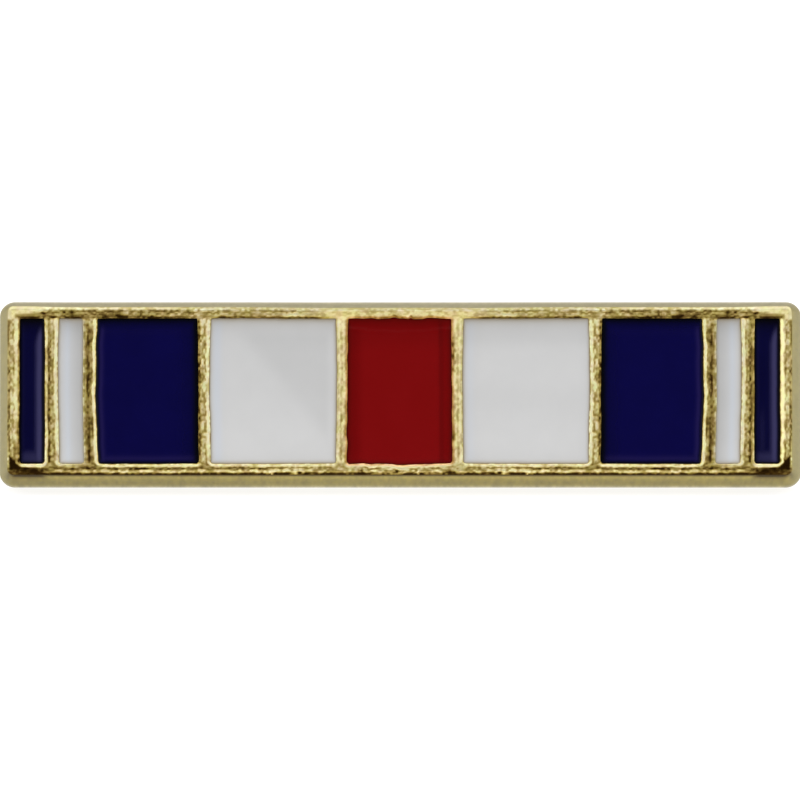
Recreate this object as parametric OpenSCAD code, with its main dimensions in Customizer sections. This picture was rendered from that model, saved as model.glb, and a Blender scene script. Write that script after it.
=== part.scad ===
// Ribbon-bar lapel pin: a struck metal bar with nine enamel cells and a
// soldered post. It rests as it does on a table: on the long lower edge of
// its back and on the shoulder of the post, leaning back. +X runs along the
// bar to the right of a viewer who faces it, the face looks towards -Y and
// a little up, +Z is up. The origin is at the centre of the footprint.

/* [Bar] */
// Length of the bar across its back
bar_w = 17.5; // [16.5:0.05:20]
// Height of the bar across its back
bar_h = 4.06; // [3.8:0.05:5]
// Thickness from the back to the top of the border
bar_t = 1.5; // [1:0.05:2.2]
// How far each side wall slopes in from back to front
draft = 0.2; // [0.05:0.01:0.3]
// Radius of the bar's corners, at the back
corner_r = 0.32; // [0.31:0.01:0.6]

/* [Cells] */
// Width of the border's crest at the two short sides
border_side = 0.26; // [0.15:0.001:0.35]
// Width of the border's crest along the top
border_top = 0.253; // [0.15:0.001:0.35]
// Width of the border's crest along the bottom
border_bottom = 0.23; // [0.15:0.01:0.35]
// Depth of the cells below the border's crest
cell_depth = 0.42; // [0.25:0.01:0.6]
// Radius of the cells' corners
cell_r = 0.07; // [0.05:0.01:0.12]

/* [Stripes] */
// Width of the red cell in the middle (the nine cells and eight dividers are stretched together to fill the crest)
red_w = 2.29; // [1.8:0.001:2.5]
// Width of each wide white cell
white_w = 2.76; // [2.4:0.001:3]
// Width of each wide blue cell
navy_w = 2.215; // [1.9:0.001:2.4]
// Width of each narrow white cell
white_narrow_w = 0.541; // [0.45:0.001:0.7]
// Width of each narrow blue cell at the ends
end_w = 0.563; // [0.4:0.001:0.7]
// Width of the divider beside the red cell
rib_a = 0.231; // [0.18:0.001:0.35]
// Width of the divider between a wide white and a wide blue cell
rib_b = 0.256; // [0.18:0.001:0.35]
// Width of the divider between a wide blue and a narrow white cell
rib_c = 0.296; // [0.18:0.001:0.35]
// Width of the divider between a narrow white and an end cell
rib_d = 0.283; // [0.18:0.001:0.35]

/* [Enamel] */
// How far the enamel's surface lies below the border's crest
enamel_drop = 0.07; // [0.02:0.01:0.15]
// Gap between the enamel and the metal around it
enamel_gap = 0.02; // [0.01:0.005:0.04]

/* [Post] */
// Radius of the post
post_r = 0.55; // [0.45:0.01:0.65]
// Length of the post from the bar's back to its tip
post_len = 8; // [7:0.1:10]
// Length of the tapered tip
tip_len = 0.9; // [0.5:0.1:1.5]
// Radius of the flat at the end of the tip
tip_r = 0.15; // [0.1:0.01:0.3]
// Radius of the soldered foot
foot_r = 1.5; // [1:0.05:1.8]
// Thickness of the soldered foot
foot_t = 0.4; // [0.2:0.05:0.6]

/* [Hidden] */
$fn = 64;

GOLD = [0.80, 0.68, 0.34];
NAVY = [0.04, 0.03, 0.23];
WHITE = [0.86, 0.86, 0.86];
RED = [0.58, 0.05, 0.06];

// the crest of the border, and the cells' common top and bottom edges
crest_w = bar_w - 2 * draft;
cell_top = bar_h / 2 - draft - border_top;
cell_bottom = -bar_h / 2 + draft + border_bottom;

// stretch that makes the stripes fill the crest between its two short sides
k = (crest_w / 2 - border_side)
    / (red_w / 2 + rib_a + white_w + rib_b + navy_w + rib_c + white_narrow_w + rib_d + end_w);

// inner and outer edge of each cell on the right half, from the middle out
red_edge = k * red_w / 2;
white_in = red_edge + k * rib_a;
white_out = white_in + k * white_w;
navy_in = white_out + k * rib_b;
navy_out = navy_in + k * navy_w;
narrow_in = navy_out + k * rib_c;
narrow_out = narrow_in + k * white_narrow_w;
end_in = narrow_out + k * rib_d;
end_out = end_in + k * end_w;

// columns: left edge, right edge
CELLS = [[-end_out, -end_in],
         [-narrow_out, -narrow_in],
         [-navy_out, -navy_in],
         [-white_out, -white_in],
         [-red_edge, red_edge],
         [white_in, white_out],
         [navy_in, navy_out],
         [narrow_in, narrow_out],
         [end_in, end_out]];

// the pin leans back until the post's shoulder or its tip meets the surface
lean = min(atan((bar_h / 2 - post_r) / (post_len - tip_len)),
           atan((bar_h / 2 - tip_r) / post_len));
rise = bar_h / 2 * cos(lean);
y_front = -bar_t * cos(lean) - (bar_h / 2 - draft) * sin(lean);
y_back = max(post_len * cos(lean) + tip_r * sin(lean),
             (post_len - tip_len) * cos(lean) + post_r * sin(lean));

// Puts a shape from the bar's own axes at rest. On its own axes the bar's
// back lies on Z = 0, the face looks along +Z and Y runs up the bar.
module at_rest() {
    translate([0, -(y_front + y_back) / 2, rise])
        rotate([90 - lean, 0, 0]) children();
}

// outline of a cell, drawn in by a gap on every side
module cell_outline(x0, x1, gap) {
    r = cell_r - gap;
    a = x0 + gap;
    b = x1 - gap;
    c = cell_bottom + gap;
    d = cell_top - gap;
    union() {
        translate([a + r, c]) square([b - a - 2 * r, d - c]);
        translate([a, c + r]) square([b - a, d - c - 2 * r]);
        for (x = [a + r, b - r], y = [c + r, d - r])
            translate([x, y]) circle(r = r, $fn = 32);
    }
}

// bar with sloping sides and rounded corners
module blank() {
    hull()
        for (x = [-1, 1], y = [-1, 1])
            translate([x * (bar_w / 2 - corner_r), y * (bar_h / 2 - corner_r), 0])
                cylinder(h = bar_t, r1 = corner_r, r2 = corner_r - draft, $fn = 32);
}

// foot, shank and tapered tip, standing on the back
module post() {
    // the foot runs a little way into the bar, as solder does
    translate([0, 0, -foot_t]) cylinder(h = foot_t + 0.3, r = foot_r);
    translate([0, 0, -(post_len - tip_len)])
        cylinder(h = post_len - tip_len + 0.3, r = post_r);
    translate([0, 0, -post_len])
        cylinder(h = tip_len, r1 = tip_r, r2 = post_r);
}

module pin_body() {
    color(GOLD) at_rest() union() {
        difference() {
            blank();
            for (c = CELLS)
                translate([0, 0, bar_t - cell_depth])
                    linear_extrude(height = cell_depth + 0.5)
                        cell_outline(c[0], c[1], 0);
        }
        post();
    }
}

module enamel(i) {
    at_rest()
        translate([0, 0, bar_t - cell_depth + enamel_gap])
            linear_extrude(height = cell_depth - enamel_gap - enamel_drop)
                cell_outline(CELLS[i][0], CELLS[i][1], enamel_gap);
}

module enamel_navy_end_left() { color(NAVY) enamel(0); }
module enamel_white_narrow_left() { color(WHITE) enamel(1); }
module enamel_navy_wide_left() { color(NAVY) enamel(2); }
module enamel_white_wide_left() { color(WHITE) enamel(3); }
module enamel_red_centre() { color(RED) enamel(4); }
module enamel_white_wide_right() { color(WHITE) enamel(5); }
module enamel_navy_wide_right() { color(NAVY) enamel(6); }
module enamel_white_narrow_right() { color(WHITE) enamel(7); }
module enamel_navy_end_right() { color(NAVY) enamel(8); }

pin_body();
enamel_navy_end_left();
enamel_white_narrow_left();
enamel_navy_wide_left();
enamel_white_wide_left();
enamel_red_centre();
enamel_white_wide_right();
enamel_navy_wide_right();
enamel_white_narrow_right();
enamel_navy_end_right();
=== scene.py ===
import math

import bpy
import numpy as np
from mathutils import Matrix, Vector
from mathutils.geometry import delaunay_2d_cdt


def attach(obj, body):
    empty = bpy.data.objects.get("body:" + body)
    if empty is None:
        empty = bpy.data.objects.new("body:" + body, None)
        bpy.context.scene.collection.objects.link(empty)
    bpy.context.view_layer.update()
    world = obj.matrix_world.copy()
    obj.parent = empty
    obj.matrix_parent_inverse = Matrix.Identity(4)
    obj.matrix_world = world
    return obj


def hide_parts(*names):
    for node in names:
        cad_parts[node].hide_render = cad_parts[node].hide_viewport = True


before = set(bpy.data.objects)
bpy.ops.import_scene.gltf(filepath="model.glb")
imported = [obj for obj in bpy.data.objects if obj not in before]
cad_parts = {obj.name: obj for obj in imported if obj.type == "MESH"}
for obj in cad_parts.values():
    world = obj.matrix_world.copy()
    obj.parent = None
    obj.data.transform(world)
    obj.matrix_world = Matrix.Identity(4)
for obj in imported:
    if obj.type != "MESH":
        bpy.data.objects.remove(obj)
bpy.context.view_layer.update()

# ---------------------------------------------------------------------------
# The frame's sizes, in millimetres, on the bar's own axes: x runs along the
# bar, v up the bar, n out of its face. The back lies on n = 0 and the crest of
# the border on n = BAR_T.
# ---------------------------------------------------------------------------
BAR_W, BAR_H, BAR_T = 17.5, 4.06, 1.5
DRAFT, CORNER_R = 0.2, 0.32
CREST_X, CREST_V, CREST_R = BAR_W / 2 - DRAFT, BAR_H / 2 - DRAFT, CORNER_R - DRAFT
CELL_TOP, CELL_BOTTOM, CELL_R = CREST_V - 0.253, -CREST_V + 0.23, 0.07
TRAY = BAR_T - 0.42
POST_R, POST_LEN, TIP_LEN, TIP_R, FOOT_R, FOOT_T = 0.55, 8.0, 0.9, 0.15, 1.5, 0.4

LEAN = min(math.atan((BAR_H / 2 - POST_R) / (POST_LEN - TIP_LEN)),
           math.atan((BAR_H / 2 - TIP_R) / POST_LEN))
SL, CL = math.sin(LEAN), math.cos(LEAN)
RISE = BAR_H / 2 * CL
OFF = -(-BAR_T * CL - (BAR_H / 2 - DRAFT) * SL
        + max(POST_LEN * CL + TIP_R * SL, (POST_LEN - TIP_LEN) * CL + POST_R * SL)) / 2


def at_rest(x, v, n):
    """From the bar's own axes to the shared frame, in metres."""
    return np.stack([x, -n * CL + v * SL + OFF, n * SL + v * CL + RISE], -1) * 0.001


# cells from left to right: name, left edge, right edge, colour
CELLS = [("navy_end_left", -8.290, -7.727, "navy"),
         ("white_narrow_left", -7.444, -6.903, "white"),
         ("navy_wide_left", -6.607, -4.392, "navy"),
         ("white_wide_left", -4.136, -1.376, "white"),
         ("red_centre", -1.145, 1.145, "red"),
         ("white_wide_right", 1.376, 4.136, "white"),
         ("navy_wide_right", 4.392, 6.607, "navy"),
         ("white_narrow_right", 6.903, 7.444, "white"),
         ("navy_end_right", 7.727, 8.290, "navy")]

# How each upright edge of the left half wanders from its straight line, in
# thousandths of a millimetre towards the right, at twelve heights. The two
# halves of the die mirror each other.
WANDER_V = (1.50, 1.24, 0.98, 0.71, 0.45, 0.19, -0.07, -0.34, -0.60, -0.86, -1.13, -1.43)
WANDER = {8.290: (2, 0, -2, -6, 0, 0, 4, 1, -5, -7, -2, 3),
          7.727: (-24, -11, -9, -5, -10, -10, -14, -11, -4, -1, -6, -7),
          7.444: (18, -9, -13, -15, -13, -13, -7, -7, 8, 8, 19, 16),
          6.903: (-10, 3, 1, -3, -5, -4, -7, -3, 7, 8, 17, 21),
          6.607: (12, -1, -24, -13, -11, -17, -34, -18, -8, 7, 3, 32),
          4.392: (-18, -12, -1, -8, 3, 0, 8, 3, 1, 6, 1, 16),
          4.136: (20, -4, -3, -7, -8, -13, -15, -13, 10, 9, 11, 13),
          1.376: (-16, 2, 1, 6, 13, 11, 10, 4, 4, 1, -4, -7),
          1.145: (22, 11, 14, 1, 13, 5, 3, -1, 12, -16, 6, -10)}
# rise of the crest's top edge, in the same unit: mm from the middle, rise
BOW = ((0.0, -22), (1.2, -23), (1.7, -28), (2.4, -20), (3.2, -9), (6.9, -9), (7.4, -9), (7.7, -1), (8.0, 9), (8.6, 13))


# ---------------------------------------------------------------------------
# Noise and small helpers
# ---------------------------------------------------------------------------
TABLES = np.random.default_rng(7241).random((6, 256, 256)) * 2 - 1


def noise(x, y, k=0):
    """Smooth value noise from -1 to 1, one lattice cell per unit."""
    xi, yi = np.floor(x).astype(int), np.floor(y).astype(int)
    fx, fy = x - xi, y - yi
    sx, sy = fx * fx * (3 - 2 * fx), fy * fy * (3 - 2 * fy)
    t = TABLES[k]
    x0, x1, y0, y1 = xi & 255, (xi + 1) & 255, yi & 255, (yi + 1) & 255
    top = t[y0, x0] * (1 - sx) + t[y0, x1] * sx
    low = t[y1, x0] * (1 - sx) + t[y1, x1] * sx
    return top * (1 - sy) + low * sy


def fbm(x, y, k=0, octaves=3):
    total, size = 0.0, 1.0
    for o in range(octaves):
        total = total + size * noise(x * 2.03 ** o + 17.3 * o, y * 2.03 ** o + 5.1 * o, (k + o) % 6)
        size *= 0.55
    return total


def step(a, b, t):
    """0 below a, 1 above b, smooth between (b may be under a)."""
    s = np.clip((t - a) / (b - a), 0, 1)
    return s * s * (3 - 2 * s)


def hump(t, centre, width):
    return np.exp(-((t - centre) / width) ** 2)


def along(t, stations, values):
    return np.interp(t, stations, values)


def mix(a, b, t):
    return a + (b - a) * t


def spread(a, b, size):
    return np.linspace(a, b, max(1, round((b - a) / size)) + 1)


# ---------------------------------------------------------------------------
# Outlines: where the die's nominal lines end up
# ---------------------------------------------------------------------------
EDGE_X = sorted([-CREST_X, CREST_X] + [s * e for e in WANDER for s in (-1, 1)])
EDGE_CURVES = []
for e in EDGE_X:
    row = WANDER.get(round(abs(e), 3), (0,) * len(WANDER_V))
    EDGE_CURVES.append([0.001 * w * (1 if e < 0 else -1) for w in row])
EDGE_CURVES = np.array(EDGE_CURVES)[:, ::-1]
WANDER_UP = np.array(WANDER_V)[::-1]


def smooth_curve(v, stations, values):
    """A soft curve through the stations' values."""
    total = 0
    for s in (-0.09, -0.045, 0, 0.045, 0.09):
        total = total + np.interp(v + s, stations, values)
    return total / 5


def wander(x, v):
    """Moves nominal points sideways and up or down, as the hand-cut die does."""
    inside = np.clip(v, CELL_BOTTOM, CELL_TOP)
    shifts = np.stack([smooth_curve(inside, WANDER_UP, c) for c in EDGE_CURVES])
    shifts += np.array([0 if abs(e) > 8.5 else 1 for e in EDGE_X])[:, None] * np.stack(
        [(0.0035 * noise(inside * 3.1, 0 * inside + 7.7 * abs(e), 2)
          + (0.0085 if abs(e) < 1.2 else 0.003) * noise(inside * 7.0, 0 * inside + 5.1 * e, 4)) * (1 if e < 0 else -1) for e in EDGE_X])
    place = np.clip(np.searchsorted(EDGE_X, x, side="right") - 1, 0, len(EDGE_X) - 2)
    e = np.array(EDGE_X)
    t = (x - e[place]) / (e[place + 1] - e[place])
    n = np.arange(len(x))
    dx = shifts[place, n] * (1 - t) + shifts[place + 1, n] * t
    fade = np.minimum(step(CREST_V, CELL_TOP, v), step(-CREST_V, CELL_BOTTOM, v))
    dx += along(x, (7.50, 7.727, 8.290, 8.54), (0.0, -0.007, 0.004, 0.0))
    dx *= fade
    # the cells' top and bottom edges bow a little
    dv = 0.006 * noise(abs(x) * 2.3, 0 * x + 3.3, 1) * step(0.9, 1.55, v) * step(CREST_V, CELL_TOP, v)
    fret = 0.005 + 0.014 * step(1.25, 1.05, abs(x))
    dv += fret * noise(x * 6.3, 0 * x + 6.1, 3) * step(1.35, 1.58, v) * step(CREST_V, CELL_TOP, v)
    dv += (0.018 * hump(x, -0.12, 0.07) - 0.012 * hump(x, 0.175, 0.035) + 0.018 * hump(x, 0.250, 0.030)
           ) * step(1.35, 1.58, v) * step(CREST_V, CELL_TOP, v)
    dv += 0.005 * noise(abs(x) * 2.7, 0 * x + 9.3, 4) * step(-0.9, -1.55, v) * step(-CREST_V, CELL_BOTTOM, v)
    for _, a, b, _ in CELLS:
        w = np.clip(1 - ((x - (a + b) / 2) / ((b - a) / 2)) ** 2, 0, 1) * min(1, (b - a))
        dv += (0.002 - (0.018 if a < 0 < b else 0.005 if b - a > 2.5 else 0.009) * np.sqrt(w)) * (w > 0) * step(-1.2, -1.6, v) * step(-CREST_V, CELL_BOTTOM, v)
    dv += (0.002 + 0.010 * step(1.25, 1.05, abs(x))) * noise(x * 6.3, 0 * x + 2.1, 5) * step(-1.35, -1.58, v) * step(-CREST_V, CELL_BOTTOM, v)
    dv += (0.004 - 0.018 * hump(x, 0.0, 0.24)) * step(1.25, 1.05, abs(x)) * step(-1.35, -1.58, v) * step(-CREST_V, CELL_BOTTOM, v)
    bx, rise = zip(*BOW)
    dv += 0.001 * np.interp(abs(x), bx, rise) * step(CELL_TOP, CREST_V, v)
    return x + dx, v + dv


def to_disc(a, b):
    """Square corner to round corner, for a and b from 0 to 1."""
    return a * np.sqrt(np.clip(1 - b * b / 2, 0, 1)), b * np.sqrt(np.clip(1 - a * a / 2, 0, 1))


def round_outer(x, v):
    """Rounds the crest's four outer corners."""
    a = (np.abs(x) - (CREST_X - CREST_R)) / CREST_R
    b = (np.abs(v) - (CREST_V - CREST_R)) / CREST_R
    here = (a > 0) & (b > 0)
    ra, rb = to_disc(np.where(here, a, 0), np.where(here, b, 0))
    x = np.where(here, np.sign(x) * (CREST_X - CREST_R + ra * CREST_R), x)
    v = np.where(here, np.sign(v) * (CREST_V - CREST_R + rb * CREST_R), v)
    return x, v


def round_cells(x, v):
    """Rounds the corners of the cells, the upper ones less, on the metal's side and the fill's."""
    for _, x0, x1, _ in CELLS:
        for sx, ex in ((-1, x0), (1, x1)):
            for sv, ev in ((-1, CELL_BOTTOM), (1, CELL_TOP)):
                r = CELL_R if sv < 0 else 0.5 * CELL_R
                cx, cv = ex - sx * r, ev - sv * r
                a, b = (x - cx) * sx / r, (v - cv) * sv / r
                m = np.maximum(a, b)
                here = (a > 0) & (b > 0) & (m < 2.2)
                inner = here & (m <= 1)
                outer = here & (m > 1)
                aa, bb, mm = np.where(here, a, 0), np.where(here, b, 0), np.where(here, m, 1)
                mm = np.maximum(mm, 1e-9)
                ia, ib = to_disc(np.clip(aa, 0, 1), np.clip(bb, 0, 1))
                pa, pb = to_disc(np.clip(aa / mm, 0, 1), np.clip(bb / mm, 0, 1))
                fall = np.clip(1 - (mm - 1) / 1.2, 0, 1)
                oa, ob = aa + (pa - aa / mm) * fall, bb + (pb - bb / mm) * fall
                na, nb = np.where(inner, ia, oa), np.where(inner, ib, ob)
                x = np.where(inner | outer, cx + sx * na * r, x)
                v = np.where(inner | outer, cv + sv * nb * r, v)
    return x, v


# ---------------------------------------------------------------------------
# Relief of the struck face
# ---------------------------------------------------------------------------
# Rolled rim on the metal around each cell of the left half, raised a little; its
# brightness is a painted highlight, mostly on the bottom and outer sides of the
# cells and left out along the top. By side: tone, strength from 0 for none to 1,
# distance of its ridge from the cell's edge and its half width in mm. The right
# half mirrors it, but for its end cell.
RIMS = {"navy_end": dict(outer=(1.03, 1.0, 0.080, 0.042), inner=(0.96, 1.0, 0.034, 0.025),
                         top=(0.30, 0.0, 0.040, 0.03), bottom=(1.20, 1.0, 0.044, 0.034)),
        "navy_end_right": dict(outer=(1.22, 1.0, 0.052, 0.042), inner=(0.60, 0.75, 0.030, 0.024),
                               top=(0.30, 0.0, 0.040, 0.03), bottom=(1.20, 1.0, 0.044, 0.034)),
        "white_narrow": dict(outer=(1.15, 1.0, 0.048, 0.035), inner=(0.80, 0.0, 0.046, 0.03),
                             top=(0.50, 0.0, 0.040, 0.03), bottom=(0.86, 0.55, 0.026, 0.026)),
        "navy_wide": dict(outer=(1.18, 1.0, 0.047, 0.032), inner=(0.60, 0.0, 0.046, 0.03),
                          top=(0.40, 0.0, 0.040, 0.03), bottom=(1.16, 1.0, 0.042, 0.0235)),
        "white_wide": dict(outer=(1.14, 1.0, 0.050, 0.034), inner=(0.90, 0.0, 0.050, 0.03),
                           top=(0.50, 0.0, 0.040, 0.03), bottom=(1.01, 1.0, 0.038, 0.0255)),
        "red_centre": dict(outer=(0.90, 0.0, 0.075, 0.03), inner=(0.90, 0.0, 0.075, 0.03),
                           top=(0.86, 0.0, 0.040, 0.03), bottom=(1.22, 1.0, 0.043, 0.026))}

# Tone of the metal across each upright of the left half, rims apart: the metal's
# own mottled tone with painted light and shade taken into it.
# upright: outer edge, inner edge, mottling, (mm from the outer edge, tone) ...
UPRIGHTS = {"border": (8.550, 8.290, 0.110, ((0.000, 0.52), (0.022, 0.40), (0.044, 0.46), (0.065, 0.66), (0.087, 0.84),
                                             (0.109, 0.80), (0.131, 0.70), (0.190, 0.74), (0.225, 0.52), (0.260, 0.26))),
            "end divider": (7.727, 7.444, 0.115, ((0.000, 0.50), (0.050, 0.46), (0.072, 0.36), (0.094, 0.44), (0.116, 0.56),
                                                  (0.137, 0.66), (0.165, 0.69), (0.190, 0.66), (0.283, 0.56))),
            "blue divider": (6.903, 6.607, 0.090, ((0.000, 0.78), (0.022, 0.70), (0.044, 0.62), (0.065, 0.54), (0.087, 0.40),
                                                   (0.109, 0.31), (0.131, 0.37), (0.153, 0.46), (0.180, 0.52), (0.296, 0.45))),
            "white divider": (4.392, 4.136, 0.135, ((0.000, 0.30), (0.018, 0.34), (0.035, 0.40), (0.055, 0.54), (0.072, 0.72),
                                                    (0.094, 0.84), (0.116, 0.82), (0.137, 0.79), (0.165, 0.72), (0.256, 0.60))),
            "red divider": (1.376, 1.145, 0.050, ((0.000, 0.64), (0.022, 0.77), (0.044, 0.92), (0.065, 0.93), (0.087, 0.85),
                                                  (0.109, 0.80), (0.131, 0.88), (0.153, 0.91), (0.175, 0.85), (0.196, 0.73),
                                                  (0.218, 0.60), (0.231, 0.52)))}

# Tone of the top border from its outer edge down to the cells, with painted light
# and shade: the outer line and the corner facets painted bright, the lip over the
# cells mostly painted dark as shade.
# mm from the middle, outer line, under it, middle, low, lip, mottling
TOP = ((0.28, 0.64, 0.90, 0.98, 0.94, 0.47, 0.07), (0.84, 0.64, 0.86, 0.92, 0.93, 0.63, 0.07),
       (1.25, 0.66, 0.90, 0.87, 0.88, 0.98, 0.05), (1.79, 0.70, 0.94, 0.92, 0.83, 0.28, 0.07),
       (2.49, 0.68, 0.56, 0.76, 0.86, 0.16, 0.09), (3.14, 0.65, 0.82, 0.70, 0.66, 0.42, 0.09),
       (3.77, 0.66, 0.70, 0.70, 0.67, 0.18, 0.10), (4.31, 0.66, 0.70, 0.58, 0.80, 0.62, 0.11),
       (4.92, 0.63, 0.54, 0.66, 0.74, 0.38, 0.13), (5.45, 0.77, 0.60, 0.48, 0.40, 0.16, 0.12),
       (5.77, 0.69, 0.40, 0.72, 0.60, 0.18, 0.12), (6.23, 0.76, 0.62, 0.55, 0.25, 0.16, 0.12),
       (6.73, 0.78, 0.41, 0.58, 0.44, 0.28, 0.11), (7.12, 0.86, 0.48, 0.48, 0.26, 0.26, 0.12),
       (7.47, 0.78, 0.68, 0.46, 0.64, 0.34, 0.12), (7.76, 0.87, 0.84, 0.27, 0.56, 0.42, 0.09),
       (8.00, 0.80, 0.95, 0.90, 0.50, 0.02, 0.04), (8.30, 0.79, 0.92, 0.92, 0.64, 0.14, 0.03))
TOP_Q = (0.038, 0.090, 0.136, 0.186, 0.234)

# Tone of the bottom border from the cells down to its outer edge, rims apart, with
# painted light and shade: the up-facing shoulder and ridge lighter, the groove and
# the down-facing brink painted dark, and the lower corners painted dark.
# mm from the middle, shoulder, groove, ridge, brink, mottling
BOTTOM = ((0.17, 0.82, 0.80, 0.62, 0.22, 0.14), (0.58, 0.82, 0.60, 0.88, 0.16, 0.15),
          (1.16, 0.82, 0.72, 0.66, 0.24, 0.09), (1.79, 0.74, 0.64, 0.86, 0.08, 0.13),
          (2.43, 0.72, 0.62, 0.86, 0.18, 0.14), (3.17, 0.68, 0.36, 0.88, 0.03, 0.12),
          (3.79, 0.68, 0.38, 0.80, 0.03, 0.12), (4.27, 0.66, 0.42, 0.84, 0.05, 0.11),
          (4.83, 0.70, 0.50, 0.92, 0.02, 0.12), (5.59, 0.66, 0.28, 0.82, 0.02, 0.12),
          (6.25, 0.66, 0.38, 0.88, 0.02, 0.12), (6.75, 0.50, 0.42, 0.76, 0.02, 0.11),
          (7.16, 0.90, 0.42, 0.72, 0.02, 0.11), (7.56, 0.70, 0.54, 0.78, 0.02, 0.11),
          (7.78, 0.66, 0.26, 0.14, 0.03, 0.08), (8.00, 0.66, 0.06, 0.00, 0.02, 0.05),
          (8.32, 0.40, 0.04, 0.18, 0.20, 0.05))
BOTTOM_P = (0.012, 0.104, 0.163, 0.225)
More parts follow.
